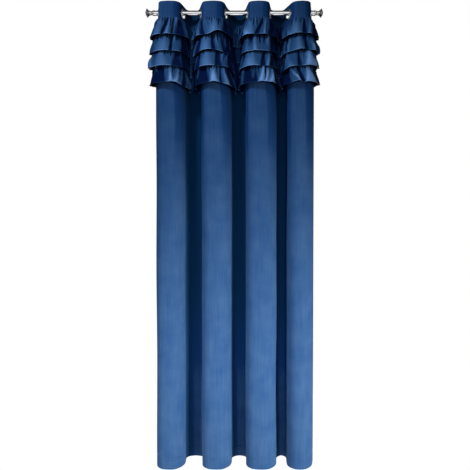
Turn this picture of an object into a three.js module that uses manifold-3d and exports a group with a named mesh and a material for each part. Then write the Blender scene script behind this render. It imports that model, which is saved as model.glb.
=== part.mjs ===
// Ruffled velvet curtain on a rod
// Millimetres, +Z up. The rod runs along X, the curtain's front faces -Y.
// The origin is on the rod's axis, at the middle of its length.
import * as THREE from "three";
import { mergeVertices } from "three/addons/utils/BufferGeometryUtils.js";
import Module from "manifold-3d";

const wasm = await Module();
wasm.setup();

// Driving dimensions

// Air between two pieces that touch on the real curtain
const SEAT_GAP = 0.3;

// The rod, a plain round tube
const ROD_RADIUS = 12.5;
const ROD_LENGTH = 870;
const ROUND_SIDES = 24;

// A finial's outline, outward from the rod's end: a collar, a waist, a trumpet and a domed cap
const FINIAL_OUTLINE = [
  { along: 0, radius: 14 },
  { along: 4, radius: 14 },
  { along: 6, radius: 11.5 },
  { along: 14, radius: 9.5 },
  { along: 24, radius: 12 },
  { along: 31, radius: 17 },
  { along: 35, radius: 22 },
  { along: 37.5, radius: 21.5 },
  { along: 40, radius: 14 },
  { along: 43.5, radius: 11 },
  { along: 45, radius: 5 },
];

// The cloth, and how far the curtain reaches above and below the rod's axis
const CLOTH = 2;
const TOP = 38;
const BOTTOM = -2462;

// Plan of the folds at the heading, a row per fold: where its four corners stand along the rod
const HEADING_FOLDS = [
  { frontLeft: -400, frontRight: -293, backLeft: -259, backRight: -196 },
  { frontLeft: -166, frontRight: -59, backLeft: -28, backRight: 60 },
  { frontLeft: 80, frontRight: 184, backLeft: 206, backRight: 270 },
  { frontLeft: 316, frontRight: 404 },
];
// How round these corners are
const HEADING_ROUNDING = [
  { frontLeft: 24, frontRight: 34, backLeft: 30, backRight: 26 },
  { frontLeft: 26, frontRight: 31, backLeft: 28, backRight: 23 },
  { frontLeft: 23, frontRight: 27, backLeft: 25, backRight: 30 },
  { frontLeft: 34, frontRight: 24 },
];
// The same four folds in the free-hanging body of the curtain
const BODY_FOLDS = [
  { frontLeft: -422, frontRight: -268, backLeft: -270, backRight: -172 },
  { frontLeft: -177, frontRight: -18, backLeft: -14, backRight: 68 },
  { frontLeft: 61, frontRight: 224, backLeft: 236, backRight: 295 },
  { frontLeft: 284, frontRight: 415 },
];
const BODY_ROUNDING = { frontLeft: 46, frontRight: 64, backLeft: 26, backRight: 18 };
// How far the folds stand before and behind the rod, and where the cloth's side edges are
const HEADING = { depth: 46, leftEdge: { along: -420, back: 46 }, rightEdge: { along: 426, back: 46 } };
const BODY = { depth: 58, leftEdge: { along: -421, back: 44 }, rightEdge: { along: 437, back: 18 } };
// The heading's plan turns into the body's plan between two heights. The right corners of the fronts
// follow last, so that each fold's right side slants down to there.
const PLAN_BLEND = { top: -60, bottom: -430 };
const SLANT_BLEND = { top: -300, bottom: -560 };
// Heights of the panel's sections under the ruffles' stitch lines
const BODY_SECTIONS = [-365, PLAN_BLEND.bottom, -495, SLANT_BLEND.bottom, -1600, BOTTOM];

// Pressed metal eyelets, gripping the cloth round each hole
const EYELET = { hole: 20, barrel: 21.5, crown: 23.5, rim: 27.5, halfWidth: 3.6, lip: 1.6, sides: 18 };
const CLOTH_HOLE_RADIUS = 22.2;
const CUTTER_LENGTH = 30;

// Gathered tiers, a row each: stitch line, hem, how far the hem flares, how quickly the cloth swells
// under the stitches, and the ripple's wave and shift
const TIERS = [
  { stitch: -50, hem: -157, flare: 41, swell: 1.3, wave: 64, shift: 0.4 },
  { stitch: -131, hem: -241, flare: 34, swell: 1.4, wave: 58, shift: 2.1 },
  { stitch: -219, hem: -320, flare: 34, swell: 1.4, wave: 55, shift: 3.7 },
  { stitch: -300, hem: -406, flare: 36, swell: 1.3, wave: 61, shift: 5.2 },
];
const RIPPLE = 7;
const RIPPLE_DRIFT = { length: 330, amount: 0.9 };
// Share of the flare that is left between two folds, where the ruffle is squeezed and hangs lower
const SQUEEZED_SHARE = 0.3;
const VALLEY_SAG = 9;
// On the curtain's sides a ruffle's ends rise towards the back and close on the panel's edges
const ENDS = { leftEdge: { squeeze: 1, rise: 30 }, rightEdge: { squeeze: 1, rise: 24 } };
// Clear space between a ruffle and the one below it
const LAYER_GAP = 3;
// Rows of a ruffle by their share of its drop, closer where the cloth swells
const RUFFLE_ROWS = [0, 0.17, 0.5, 1];

// Steps along the plan: on rounded corners, and on the straight stretches between them
const CORNER_STEPS = 4;
const PANEL_STEPS = { front: 3, flank: 2, back: 2 };
const RUFFLE_PLAN_STEPS = { front: 5, flank: 4, back: 2 };

const velvet = new THREE.MeshStandardMaterial({ color: 0x2f5a94, roughness: 0.85, metalness: 0 });
const ruffleVelvet = new THREE.MeshStandardMaterial({ color: 0x2b5590, roughness: 0.6, metalness: 0 });
const chrome = new THREE.MeshStandardMaterial({ color: 0xd4d6d9, roughness: 0.15, metalness: 1 });

const lerp = THREE.MathUtils.lerp;

// Plan of the folds

// Share of the body's plan at a height
function bodyShare(blend, height) {
  return THREE.MathUtils.smoothstep(-height, -blend.top, -blend.bottom);
}

// The plan's corners from the left edge to the right one, each with its rounding
// squeeze is 1 where a corner lies between two folds, end is 1 at the cloth's edges
function planCorners(height) {
  const share = bodyShare(PLAN_BLEND, height);
  const depth = lerp(HEADING.depth, BODY.depth, share);
  const edge = (side) => ({
    x: lerp(HEADING[side].along, BODY[side].along, share),
    y: lerp(HEADING[side].back, BODY[side].back, share),
    rounding: 0,
    end: 1,
    ...ENDS[side],
  });
  const corners = [edge("leftEdge")];
  HEADING_FOLDS.forEach((fold, row) => {
    for (const name of Object.keys(fold)) {
      const isFront = name.startsWith("front");
      const turned = name === "frontRight" ? bodyShare(SLANT_BLEND, height) : share;
      corners.push({
        x: lerp(fold[name], BODY_FOLDS[row][name], turned),
        y: isFront ? -depth : depth,
        rounding: lerp(HEADING_ROUNDING[row][name], BODY_ROUNDING[name], turned),
        end: 0,
        squeeze: isFront ? 0 : 1,
        rise: 0,
      });
    }
  });
  corners.push(edge("rightEdge"));
  return corners;
}

// Round one corner: points on its arc, each with the cloth's outward direction there
function cornerArc(before, corner, after) {
  const toBefore = new THREE.Vector2(before.x - corner.x, before.y - corner.y).normalize();
  const toAfter = new THREE.Vector2(after.x - corner.x, after.y - corner.y).normalize();
  const halfAngle = Math.acos(toBefore.dot(toAfter)) / 2;
  const inward = toBefore.clone().add(toAfter).normalize();
  const centre = inward.clone().multiplyScalar(corner.rounding / Math.sin(halfAngle)).add(corner);
  const turn = Math.PI - 2 * halfAngle;
  const side = Math.sign(toBefore.cross(toAfter));
  const points = [];
  for (let step = 0; step <= CORNER_STEPS; step += 1) {
    const swing = (step / CORNER_STEPS - 0.5) * turn * -side;
    const spoke = inward.clone().negate().rotateAround(new THREE.Vector2(), swing);
    const place = spoke.clone().multiplyScalar(corner.rounding).add(centre);
    const outward = spoke.multiplyScalar(-side);
    points.push({ ...corner, x: place.x, y: place.y, nx: outward.x, ny: outward.y });
  }
  return points;
}

// Points on a straight stretch after its start, up to its end
function straightStretch(start, end, steps) {
  const points = [];
  for (let step = 1; step <= steps; step += 1) {
    const t = step / steps;
    const point = { ...end };
    for (const value of ["x", "y", "squeeze", "end", "rise"]) {
      point[value] = lerp(start[value], end[value], t);
    }
    points.push(point);
  }
  return points;
}

// The whole plan at a height as points from left to right, with the length of cloth up to each
function planPoints(height, steps) {
  const corners = planCorners(height);
  const rounded = corners.slice(1, -1);
  const stretches = rounded.map((corner, i) => cornerArc(corners[i], corner, corners[i + 2]));
  const edgePoint = (corner, next) => [{ ...corner, nx: next.nx, ny: next.ny }];
  stretches.unshift(edgePoint(corners[0], stretches[0][0]));
  stretches.push(edgePoint(corners.at(-1), stretches.at(-1).at(-1)));
  const points = [...stretches[0]];
  for (let i = 1; i < stretches.length; i += 1) {
    const isLevel = Math.abs(corners[i].y - corners[i - 1].y) < SEAT_GAP;
    const levelSteps = corners[i].squeeze ? steps.back : steps.front;
    const count = isLevel ? levelSteps : steps.flank;
    points.push(...straightStretch(points.at(-1), stretches[i][0], count), ...stretches[i].slice(1));
  }
  let along = 0;
  points.forEach((point, i) => {
    const last = points[Math.max(i - 1, 0)];
    along += Math.hypot(point.x - last.x, point.y - last.y);
    point.along = along;
  });
  return points;
}

// Solids

// A closed sheet of cloth around a grid of middle points, rows from top to hem
function sheetGeometry(rows) {
  const columns = rows[0].length;
  const half = CLOTH / 2;
  const positions = [];
  for (const side of [half, -half]) {
    for (const row of rows) {
      for (const point of row) {
        positions.push(point.x + point.nx * side, point.y + point.ny * side, point.z);
      }
    }
  }
  const front = (r, c) => r * columns + c;
  const back = (r, c) => (rows.length + r) * columns + c;
  const index = [];
  const quad = (a, b, c, d) => index.push(a, b, c, a, c, d);
  const lastRow = rows.length - 1;
  const lastColumn = columns - 1;
  for (let r = 0; r < lastRow; r += 1) {
    for (let c = 0; c < lastColumn; c += 1) {
      quad(front(r, c), front(r + 1, c), front(r + 1, c + 1), front(r, c + 1));
      quad(back(r, c), back(r, c + 1), back(r + 1, c + 1), back(r + 1, c));
    }
    quad(front(r, 0), back(r, 0), back(r + 1, 0), front(r + 1, 0));
    quad(front(r, lastColumn), front(r + 1, lastColumn), back(r + 1, lastColumn), back(r, lastColumn));
  }
  for (let c = 0; c < lastColumn; c += 1) {
    quad(front(0, c), front(0, c + 1), back(0, c + 1), back(0, c));
    quad(front(lastRow, c), back(lastRow, c), back(lastRow, c + 1), front(lastRow, c + 1));
  }
  const geometry = new THREE.BufferGeometry();
  geometry.setAttribute("position", new THREE.Float32BufferAttribute(positions, 3));
  geometry.setIndex(index);
  return geometry;
}

// Booleans on closed meshes

function toSolid(geometry) {
  const bare = geometry.clone();
  bare.deleteAttribute("normal");
  bare.deleteAttribute("uv");
  const merged = mergeVertices(bare);
  const vertProperties = new Float32Array(merged.attributes.position.array);
  const triVerts = new Uint32Array(merged.index.array);
  return new wasm.Manifold(new wasm.Mesh({ numProp: 3, vertProperties, triVerts }));
}

function toGeometry(solid) {
  const mesh = solid.getMesh();
  const geometry = new THREE.BufferGeometry();
  geometry.setAttribute("position", new THREE.BufferAttribute(mesh.vertProperties, 3));
  geometry.setIndex(new THREE.BufferAttribute(mesh.triVerts, 1));
  return geometry;
}

// A body turned about its own Y axis, from an outline of radius and place along the axis
function turned(outline, sides) {
  const points = outline.map((row) => new THREE.Vector2(row.radius, row.along));
  return new THREE.LatheGeometry(points, sides);
}

// Where the eyelets sit: on every flank of the heading, where it crosses the rod
function eyeletPlaces() {
  const corners = planCorners(TOP);
  const hangs = ROD_RADIUS + SEAT_GAP - EYELET.hole * Math.cos(Math.PI / EYELET.sides);
  const places = [];
  for (let i = 1; i < corners.length; i += 1) {
    const from = corners[i - 1];
    const to = corners[i];
    if (from.y * to.y < 0) {
      const t = from.y / (from.y - to.y);
      const turn = Math.atan2(to.y - from.y, to.x - from.x);
      places.push({ position: new THREE.Vector3(lerp(from.x, to.x, t), 0, hangs), turn });
    }
  }
  return places;
}

// Sub-parts

const curtain = new THREE.Group();

function addPart(name, geometry, material, position, turn = 0) {
  const mesh = new THREE.Mesh(geometry, material);
  mesh.name = name;
  if (position) {
    mesh.position.copy(position);
  }
  mesh.rotation.z = turn;
  curtain.add(mesh);
}

function addRod() {
  const rod = new THREE.CylinderGeometry(ROD_RADIUS, ROD_RADIUS, ROD_LENGTH, ROUND_SIDES);
  addPart("rod", rod, chrome, null, Math.PI / 2);
  const onAxis = (row) => ({ along: row.along, radius: 0 });
  const outline = [onAxis(FINIAL_OUTLINE[0]), ...FINIAL_OUTLINE, onAxis(FINIAL_OUTLINE.at(-1))];
  const finial = turned(outline, ROUND_SIDES);
  const seat = ROD_LENGTH / 2 + SEAT_GAP;
  addPart("finial_left", finial, chrome, new THREE.Vector3(-seat, 0, 0), Math.PI / 2);
  addPart("finial_right", finial, chrome, new THREE.Vector3(seat, 0, 0), -Math.PI / 2);
}

// One velvet sheet in deep folds, with a hole for each eyelet
function addPanel(places) {
  const heights = [TOP, ...TIERS.map((tier) => tier.stitch), ...BODY_SECTIONS];
  const rows = heights.map((z) => planPoints(z, PANEL_STEPS).map((point) => ({ ...point, z })));
  let solid = toSolid(sheetGeometry(rows));
  for (const place of places) {
    const cutter = new THREE.CylinderGeometry(
      CLOTH_HOLE_RADIUS, CLOTH_HOLE_RADIUS, CUTTER_LENGTH, ROUND_SIDES);
    cutter.rotateZ(place.turn);
    cutter.translate(...place.position);
    solid = solid.subtract(toSolid(cutter));
  }
  addPart("panel", toGeometry(solid), velvet);
}

// An eyelet is a barrel through the cloth with a domed flange on each face
function addEyelets(places) {
  const groove = CLOTH / 2 + SEAT_GAP;
  const flange = [
    { along: EYELET.halfWidth / 2, radius: EYELET.hole },
    { along: EYELET.halfWidth, radius: EYELET.crown },
    { along: groove, radius: EYELET.rim },
    { along: EYELET.lip, radius: EYELET.barrel },
  ];
  const mirrored = flange.map((row) => ({ along: -row.along, radius: row.radius })).reverse();
  const outline = [...flange, ...mirrored, flange[0]].reverse();
  const ring = turned(outline, EYELET.sides);
  places.forEach((place, i) => addPart(`eyelet_${i + 1}`, ring, chrome, place.position, place.turn));
}

// How far a ruffle stands off the panel at a height: not at all above its stitch line
function standAt(ruffle, column, height) {
  const { stitch, hem } = ruffle.tier;
  const down = (stitch - height) / (stitch - hem);
  if (down < 0) {
    return 0;
  }
  const row = RUFFLE_ROWS.findLastIndex((share) => share <= down);
  const t = (down - RUFFLE_ROWS[row]) / (RUFFLE_ROWS[row + 1] - RUFFLE_ROWS[row]);
  return lerp(ruffle.stands[row][column], ruffle.stands[row + 1][column], t);
}

// A gathered strip, sewn to the panel along its top and flaring to a rippled hem over the ruffle below
function addRuffle(tier, number, below) {
  const seam = planPoints(tier.stitch, RUFFLE_PLAN_STEPS);
  const ripples = seam.map(({ along }) => {
    const drift = RIPPLE_DRIFT.amount * Math.sin((2 * Math.PI * along) / RIPPLE_DRIFT.length);
    return RIPPLE * Math.sin((2 * Math.PI * along) / tier.wave + tier.shift + drift);
  });
  const stands = [];
  const rows = RUFFLE_ROWS.map((down) => {
    const height = lerp(tier.stitch, tier.hem, down);
    const points = planPoints(height, RUFFLE_PLAN_STEPS);
    const swell = tier.flare * (1 - (1 - down) ** tier.swell);
    stands.push(points.map(({ squeeze, end }, column) => {
      const kept = end > 0 ? 0 : SQUEEZED_SHARE;
      const share = lerp(1, kept, squeeze ** 2);
      const stand = CLOTH + SEAT_GAP + share * (swell + ripples[column] * down);
      const over = below ? standAt(below, column, height) + CLOTH + LAYER_GAP : 0;
      return Math.max(stand, over);
    }));
    return points.map((point, column) => {
      const seamLift = (point.rise - VALLEY_SAG * point.end) * point.end;
      const hemLift = point.rise - VALLEY_SAG * point.squeeze ** 2;
      return {
        ...point,
        x: point.x + point.nx * stands.at(-1)[column],
        y: point.y + point.ny * stands.at(-1)[column],
        z: height + lerp(seamLift, hemLift, down),
      };
    });
  });
  addPart(`ruffle_${number}`, sheetGeometry(rows), ruffleVelvet);
  return { tier, stands };
}

const places = eyeletPlaces();
addRod();
addPanel(places);
addEyelets(places);
// Ruffles, from the lowest to the uppermost
TIERS.reduceRight((below, tier, i) => addRuffle(tier, i + 1, below), null);

export default curtain;
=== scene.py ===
# Ruffled velvet curtain on a rod
# The curtain's sizes are in millimetres, and MM turns them to metres. Lights are placed in metres.
# The rod runs along X, the curtain's front faces -Y, and the origin is on the rod's axis.
import bisect
import math
import random
from collections import namedtuple

import bpy
from mathutils import Matrix, Vector


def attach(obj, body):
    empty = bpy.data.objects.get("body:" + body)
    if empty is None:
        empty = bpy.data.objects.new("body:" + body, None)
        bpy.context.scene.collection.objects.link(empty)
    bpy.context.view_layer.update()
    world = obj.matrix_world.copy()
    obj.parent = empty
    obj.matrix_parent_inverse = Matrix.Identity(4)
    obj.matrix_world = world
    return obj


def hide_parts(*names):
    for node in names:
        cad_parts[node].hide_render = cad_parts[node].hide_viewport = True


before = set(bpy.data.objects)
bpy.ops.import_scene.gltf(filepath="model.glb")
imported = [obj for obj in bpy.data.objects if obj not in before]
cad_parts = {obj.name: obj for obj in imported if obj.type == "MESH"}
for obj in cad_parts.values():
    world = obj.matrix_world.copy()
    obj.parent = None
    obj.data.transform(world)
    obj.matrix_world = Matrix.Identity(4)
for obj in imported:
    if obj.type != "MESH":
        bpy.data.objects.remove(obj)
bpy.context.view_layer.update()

MM = 0.001

# Camera, from the photograph's perspective

CAMERA_PLACE = (4.34, -2082.35, -1166.84)
CAMERA_TILT_DOWN = 1.0
CAMERA_LENS = 29.115

# The rod and its turned finials

ROD_RADIUS = 12.5
ROD_LENGTH = 870
ROD_BEVEL = 0.6
SEAT_GAP = 0.3
Turn = namedtuple("Turn", "along radius")
# A finial's outline outward from the rod's end: collar, waist, trumpet and domed cap
FINIAL_OUTLINE = (
    Turn(0, 14), Turn(4, 14), Turn(6, 11.5), Turn(14, 9.5), Turn(24, 12), Turn(31, 17),
    Turn(35, 22), Turn(37.5, 21.5), Turn(40, 14), Turn(43.5, 11), Turn(45, 5),
)

# Plan of the four folds, a row each: where its corners stand along the rod

FoldPlan = namedtuple("FoldPlan", "front_left front_right back_left back_right")
HEADING_FOLDS = (
    FoldPlan(-400, -293, -259, -196),
    FoldPlan(-166, -59, -28, 60),
    FoldPlan(80, 184, 206, 270),
    FoldPlan(316, 404, None, None),
)
BODY_FOLDS = (
    FoldPlan(-422, -268, -270, -172),
    FoldPlan(-177, -18, -14, 68),
    FoldPlan(61, 224, 236, 295),
    FoldPlan(284, 415, None, None),
)
# How far fronts and backs stand from the rod's axis, where the side edges end, and how far a front bows
Edge = namedtuple("Edge", "along back")
PlanShape = namedtuple("PlanShape", "depth left_edge right_edge bow")
HEADING = PlanShape(46, Edge(-420, 46), Edge(426, 46), 4)
BODY = PlanShape(58, Edge(-421, 44), Edge(437, 18), 6)
# How round the corners are
HEADING_ROUNDING = (
    FoldPlan(24, 34, 30, 26),
    FoldPlan(26, 31, 28, 23),
    FoldPlan(23, 27, 25, 30),
    FoldPlan(34, 24, None, None),
)
BODY_ROUNDING = FoldPlan(46, 64, 26, 18)
# The heading's plan turns into the body's plan between two heights. The right corners of the fronts
# follow last, so that each fold's right side slants down to there.
Blend = namedtuple("Blend", "top bottom")
PLAN_BLEND = Blend(-60, -430)
SLANT_BLEND = Blend(-300, -560)
TOP = 38
BOTTOM = -2462
# The hanging folds sway a little from side to side on their way down
SWAY = 2.5
SWAY_BLEND = Blend(-430, -880)
SWAY_LENGTHS = (730, 980, 1240, 860, 1110)

# Thickness of the cloth
PANEL_CLOTH = 2.0
RUFFLE_CLOTH = 1.4

# Eyelets

EYELET_HOLE = 20
CLOTH_HOLE = 22.6
# An eyelet's outline on one side of the cloth, from its bore round the rim and back to its barrel
EYELET_WAIST = 19.8
EYELET_RIM = (
    Turn(1.6, 20), Turn(3.0, 21.2), Turn(3.6, 23.2), Turn(3.2, 25.4), Turn(2.2, 27), Turn(1.3, 27.5),
    Turn(1.4, 25), Turn(1.5, 21.5),
)
# The hole is an even polygon, and the eyelet hangs on the rod by one of its sides
EYELET_SIDES = 18

# Ruffles, a row per tier: stitch line, hem, how far it flares, and how quickly it swells under the stitches

Tier = namedtuple("Tier", "stitch hem flare swell")
TIERS = (
    Tier(-50, -157, 41, 1.3),
    Tier(-131, -241, 34, 1.4),
    Tier(-219, -320, 34, 1.4),
    Tier(-300, -406, 36, 1.3),
)
SEAM_STAND = 2.2
# At its two ends, on the curtain's sides, a ruffle rises towards the back and closes on the panel's edges
LEFT_END_RISE = 30
RIGHT_END_RISE = 24
# Between two folds of the panel the hem hangs lower
VALLEY_SAG = 9
# Shares of the flare and of a fold's depth that are left between two folds of the panel
SQUEEZED_FLARE = 0.42
SQUEEZED_FOLD = 0.8
# Clear space between a ruffle and the one below it
LAYER_GAP = 4
# A fold is deepest part way down and shallower at the hem: the share left there, and how late it gets so
HEM_FOLD = 0.4
HEM_FOLD_LATE = 3
# A fold is narrower at the stitch line and wider at the hem, by shares of its width
FOLD_SPREAD = (0.6, 1.1)
# How soon a fold gains its depth below the stitch line: the smaller, the sooner
FOLD_GROWTH = 0.6

# Folds of the ruffles, listed by ruffle and by fold of the panel, each with the columns of Flute.
# across runs from 0 at the left corner of a panel fold's front to 1 at its right corner, at the stitch line
# and at the hem. depth is outward, or inward where negative. reach is how far down from the stitch line
# a fold runs: to the hem, or to a share of the drop.
Flute = namedtuple("Flute", "across_stitch across_hem depth width reach", defaults=(1,))
FLUTES = (
    (
        ((0.15, 0.08, 8, 22), (0.5, 0.25, -18, 13), (0.64, 0.47, 12, 13), (0.78, 0.68, -12, 9),
         (0.88, 0.85, 9, 8, 0.6), (1.0, 0.95, -13, 22)),
        ((-0.3, -0.25, 9, 10), (-0.2, -0.1, -12, 7), (-0.08, 0.0, 11, 8), (-0.02, 0.1, -16, 8),
         (0.16, 0.33, 6, 6, 0.9), (0.55, 0.55, 12, 32), (0.8, 0.75, -10, 7, 0.8), (1.05, 1.0, -14, 18)),
        ((-0.2, -0.2, 9, 10), (-0.1, -0.07, -10, 6), (0.1, 0.1, 9, 22), (0.33, 0.34, 8, 10, 0.6),
         (0.73, 0.36, -19, 13), (0.86, 0.7, 12, 10), (1.1, 0.95, -14, 16)),
        ((-0.45, -0.25, 9, 10), (-0.3, -0.1, -13, 6), (0.13, 0.21, 12, 26), (0.62, 0.56, -17, 12),
         (0.93, 0.8, 11, 9), (1.15, 0.95, -13, 9)),
    ),
    (
        ((0.3, 0.3, 9, 40), (0.71, 0.62, -19, 10), (0.82, 0.78, 9, 8, 0.7), (0.96, 0.9, -9, 6, 0.5),
         (1.25, 1.1, -14, 18)),
        ((-0.15, -0.22, 8, 6), (-0.05, -0.1, -12, 7), (0.2, 0.2, 10, 30), (0.45, 0.52, -18, 13),
         (0.55, 0.8, 10, 6, 0.95), (0.85, 0.98, -12, 12), (1.3, 1.12, 10, 12)),
        ((0.0, 0.05, 6, 6), (0.1, 0.14, -9, 10, 0.8), (0.29, 0.3, 12, 16), (0.48, 0.55, -11, 7, 0.75),
         (0.75, 0.7, -11, 8, 0.75), (0.92, 0.85, 8, 9, 0.9), (1.1, 1.0, -12, 12)),
        ((-0.7, -0.45, 9, 8), (-0.55, -0.3, -9, 6), (-0.35, -0.12, 9, 5), (-0.25, -0.04, -12, 6),
         (0.3, 0.36, 11, 22), (0.62, 0.68, -16, 12), (0.78, 1.0, 9, 7), (1.2, 1.15, -12, 8)),
    ),
    (
        ((0.2, 0.3, 9, 40), (0.35, 0.47, -10, 6, 0.55), (0.62, 0.75, -10, 7, 0.5),
         (0.85, 0.95, -10, 7, 0.5), (0.9, 0.85, -12, 24), (1.05, 1.15, -8, 7, 0.7)),
        ((-0.15, -0.25, 8, 6), (-0.05, -0.08, -12, 7), (0.2, 0.25, 10, 34), (0.72, 0.72, -18, 22),
         (0.95, 0.85, 9, 4, 0.9), (1.1, 1.0, 9, 5, 0.9)),
        ((0.15, 0.15, 12, 34), (0.75, 0.62, -17, 17), (0.98, 0.85, 12, 7), (1.12, 0.97, -13, 10)),
        ((-0.5, -0.3, 9, 4), (-0.35, -0.18, -12, 6), (-0.1, 0.1, 10, 14), (0.32, 0.38, -17, 10),
         (0.45, 0.56, 8, 5, 0.95), (0.82, 0.84, 27, 32)),
    ),
    (
        ((-0.3, -0.25, -12, 24), (0.2, 0.2, -20, 40), (0.05, 0.2, 10, 7, 0.6), (0.62, 0.7, 19, 18),
         (1.03, 0.88, -10, 4, 0.7), (1.12, 0.95, 8, 5), (1.2, 1.0, -14, 7), (1.32, 1.12, 9, 7),
         (1.45, 1.25, -10, 8)),
        ((-0.25, -0.2, -12, 20), (0.08, 0.1, -20, 34), (0.4, 0.42, -9, 5, 0.35), (0.5, 0.54, 20, 26),
         (0.85, 0.82, -15, 6), (0.95, 0.97, 16, 9), (1.1, 1.12, -13, 9)),
        ((-0.25, -0.2, -12, 20), (0.05, 0.08, -20, 28), (0.35, 0.35, -10, 14), (0.72, 0.58, 27, 18),
         (0.84, 0.69, -8, 4, 0.8), (0.95, 0.78, 22, 12), (1.06, 0.92, 22, 9), (1.2, 1.08, -14, 10)),
        ((-0.15, 0.02, -20, 20), (0.0, 0.42, 20, 8), (0.25, 0.6, -22, 13), (0.75, 0.86, 28, 28)),
    ),
)
# Where a hem arches up or hangs lower, by its ruffle and the panel fold it hangs on
HemArch = namedtuple("HemArch", "ruffle fold across width rise")
HEM_ARCHES = (
    HemArch(1, 2, 0.75, 48, 20),
    HemArch(1, 4, 0.5, 60, 6),
    HemArch(2, 2, 0.35, 60, 7),
    HemArch(2, 2, 1.15, 45, -14),
    HemArch(2, 4, 0.6, 60, 9),
    HemArch(3, 4, -0.2, 40, -10),
    HemArch(4, 1, 1.1, 34, -16),
    HemArch(4, 2, 1.05, 34, -12),
    HemArch(4, 4, 0.35, 22, 7),
)
# Fine gathers along each stitch line, and soft pleats in the valleys, laid out by a fixed seed
GATHER_SEED = 41
GATHER_SPACING = (10, 17)
GATHER_DEPTH = 9
GATHER_WIDTH = 5.5
GATHER_REACH = (0.25, 0.65)
# Between the gathers the cloth puffs out a little
GATHER_PUFF = 6
PUFF_REACH = 0.45
GATHER_LEAN = 9
PLEAT_SPACING = (14, 25)
PLEAT_DEPTH = (6, 17)
PLEAT_WIDTH = (7, 14)
PLEAT_LEAN = 18
# Share of a pleat's swing by which the hem drops there
PLEAT_DROP = 0.5
# Share of a hollow corner's room that a ruffle may fill
ROOM_SHARE = 0.8
# At its ends a ruffle is turned round the panel's side edges: how far past them, and how far back
END_TURNS = ((2.4, 1.0), (2.4, 6.0))

# The panel's bottom hem: its line of stitches draws the cloth in a little
HEM_HEIGHT = 60
HEM_GROOVE = 2
HEM_GROOVE_WIDTH = 7
HEM_GROOVE_STEPS = 3
# Painted shade: the panel's colour is painted darker in the valleys between the folds. Towards the hem it
# is painted paler there again, as painted light, but not on a valley's left flank. The blend gives the
# heights of that change, and the pair after it where the paler part begins, in shares of the valley's
# cloth.
PAINTED_LIGHT_BLEND = Blend(-1380, -2050)
PAINTED_LIGHT_ACROSS = (0.3, 0.46)
# Painted shadow: under the ruffles the right side of each front is painted darker, by how much, from where
# across the front, and how far down
SIDE_PAINTED_SHADOW = 0.11
SIDE_ACROSS = (0.68, 0.78)
SIDE_BLEND = Blend(-430, -950)
# Stitches of sewing thread
STITCH_LENGTH = 3.2
STITCH_PITCH = 4.2
THREAD_RADIUS = 0.3

# Points along the plan: on rounded corners, and on the straight stretches between them
PlanSteps = namedtuple("PlanSteps", "corner front flank back")
PANEL_PLAN = PlanSteps(11, 10, 7, 5)
RUFFLE_PLAN = PlanSteps(14, 44, 44, 30)
PANEL_ROWS = 150
RUFFLE_ROWS = 22
BEAD_RADIUS = 1.8
BEAD_STEPS = 4
# The gathers also show in the bead: those at this share of the drop, made this much weaker
BEAD_GATHERS_AT = 0.05
BEAD_GATHERS_KEPT = 0.4
HEM_ROLL_RADIUS = 1.0
HEM_ROLL_STEPS = 5
HEM_ROLL_TURN = 1.4 * math.pi
# Points round a turned piece and round an eyelet's hole in the cloth
ROUND_STEPS = 64
HOLE_STEPS = 48
# Points nearer to each other than this are one
WELD = 0.01
# Bends up to these angles look smooth, in degrees
PANEL_SMOOTH = 50
RUFFLE_SMOOTH = 60
ROD_SMOOTH = 30
TURNED_SMOOTH = 40


def lerp(start, end, share):
    return start + (end - start) * share


def smoothstep(value, low, high):
    share = min(max((value - low) / (high - low), 0.0), 1.0)
    return share * share * (3 - 2 * share)


def soft_bump(distance, width):
    """A soft ridge: 1 in its middle, 0 from its width outward."""
    if abs(distance) >= width:
        return 0.0
    return 0.5 + 0.5 * math.cos(math.pi * distance / width)


# Plan of the folds at a height

Corner = namedtuple("Corner", "x y rounding squeeze")
PlanPoint = namedtuple("PlanPoint", "x y out_x out_y squeeze along room")
Hollow = namedtuple("Hollow", "start end rounding")


def blend_share(blend, height):
    return smoothstep(-height, -blend.top, -blend.bottom)


def plan_corners(height):
    """The plan's corners from the left edge to the right one. squeeze is 1 off the fronts of the folds."""
    share = blend_share(PLAN_BLEND, height)
    depth = lerp(HEADING.depth, BODY.depth, share)

    def edge(side):
        at_heading = getattr(HEADING, side)
        at_body = getattr(BODY, side)
        return Corner(
            x=lerp(at_heading.along, at_body.along, share),
            y=lerp(at_heading.back, at_body.back, share),
            rounding=0,
            squeeze=1,
        )

    corners = [edge("left_edge")]
    for row, heading_fold in enumerate(HEADING_FOLDS):
        for name in FoldPlan._fields:
            at_heading = getattr(heading_fold, name)
            if at_heading is None:
                continue
            is_front = name.startswith("front")
            turned = blend_share(SLANT_BLEND, height) if name == "front_right" else share
            length = SWAY_LENGTHS[len(corners) % len(SWAY_LENGTHS)]
            sway = SWAY * math.sin(2 * math.pi * height / length + len(corners))
            hung = lerp(at_heading, getattr(BODY_FOLDS[row], name), turned)
            corners.append(Corner(
                x=hung + sway * blend_share(SWAY_BLEND, height),
                y=-depth if is_front else depth,
                rounding=lerp(getattr(HEADING_ROUNDING[row], name), getattr(BODY_ROUNDING, name), turned),
                squeeze=0 if is_front else 1,
            ))
    corners.append(edge("right_edge"))
    return corners


def corner_arc(before, corner, after, steps):
    """Points on a rounded corner."""
    middle = Vector((corner.x, corner.y))
    to_before = (Vector((before.x, before.y)) - middle).normalized()
    to_after = (Vector((after.x, after.y)) - middle).normalized()
    half_angle = math.acos(to_before.dot(to_after)) / 2
    inward = (to_before + to_after).normalized()
    centre = middle + inward * (corner.rounding / math.sin(half_angle))
    turn = math.pi - 2 * half_angle
    side = math.copysign(1, to_before.cross(to_after))
    points = []
    for step in range(steps + 1):
        swing = (step / steps - 0.5) * turn * -side
        spoke = Matrix.Rotation(swing, 2) @ -inward
        place = centre + spoke * corner.rounding
        points.append((place.x, place.y, corner.squeeze))
    return points


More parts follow.
